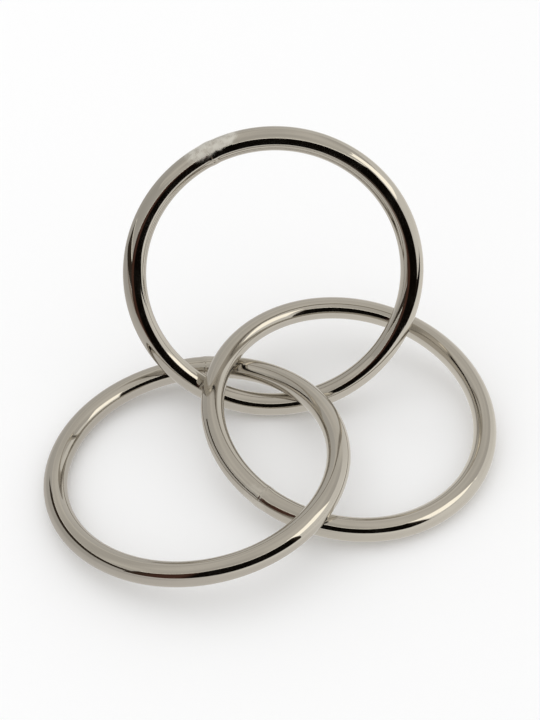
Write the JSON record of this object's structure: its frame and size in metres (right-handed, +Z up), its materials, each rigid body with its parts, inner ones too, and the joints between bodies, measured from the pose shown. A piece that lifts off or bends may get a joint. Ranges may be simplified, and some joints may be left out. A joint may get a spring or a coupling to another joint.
{
  "type": "linked metal rings",
  "caption": "Linked round-bar rings of bright nickel-plated steel, butt-welded shut, standing and lying together on a flat surface.",
  "frame": {"origin": "under the middle of the whole part's box, on the surface the rings lie on", "axes": "+Z up, +X along the longest extent with the left ring towards -X and the right ring towards +X, the standing ring faces -Y and leans back towards +Y"},
  "size_m": [0.098, 0.0788, 0.0602],
  "materials": {
    "nickel_plate": "bright nickel plating, mirror-like with a slight warm tint"
  },
  "bodies": {
    "upright_ring": {"upright_ring": "nickel_plate"},
    "left_ring": {"left_ring": "nickel_plate"},
    "right_ring": {"right_ring": "nickel_plate"}
  },
  "joints": [
    {"name": "left_ring_lift", "type": "hinge", "parent": "upright_ring", "child": "left_ring", "pos_m": [-0.00536, 0.02096, 0.0057], "axis": [-0.687, 0.481, -0.5446], "range_deg": [0, 110]},
    {"name": "right_ring_lift", "type": "hinge", "parent": "upright_ring", "child": "right_ring", "pos_m": [-0.00326, 0.00236, 0.0195], "axis": [0.5696, -0.4951, 0.6561], "range_deg": [0, 60]}
  ]
}
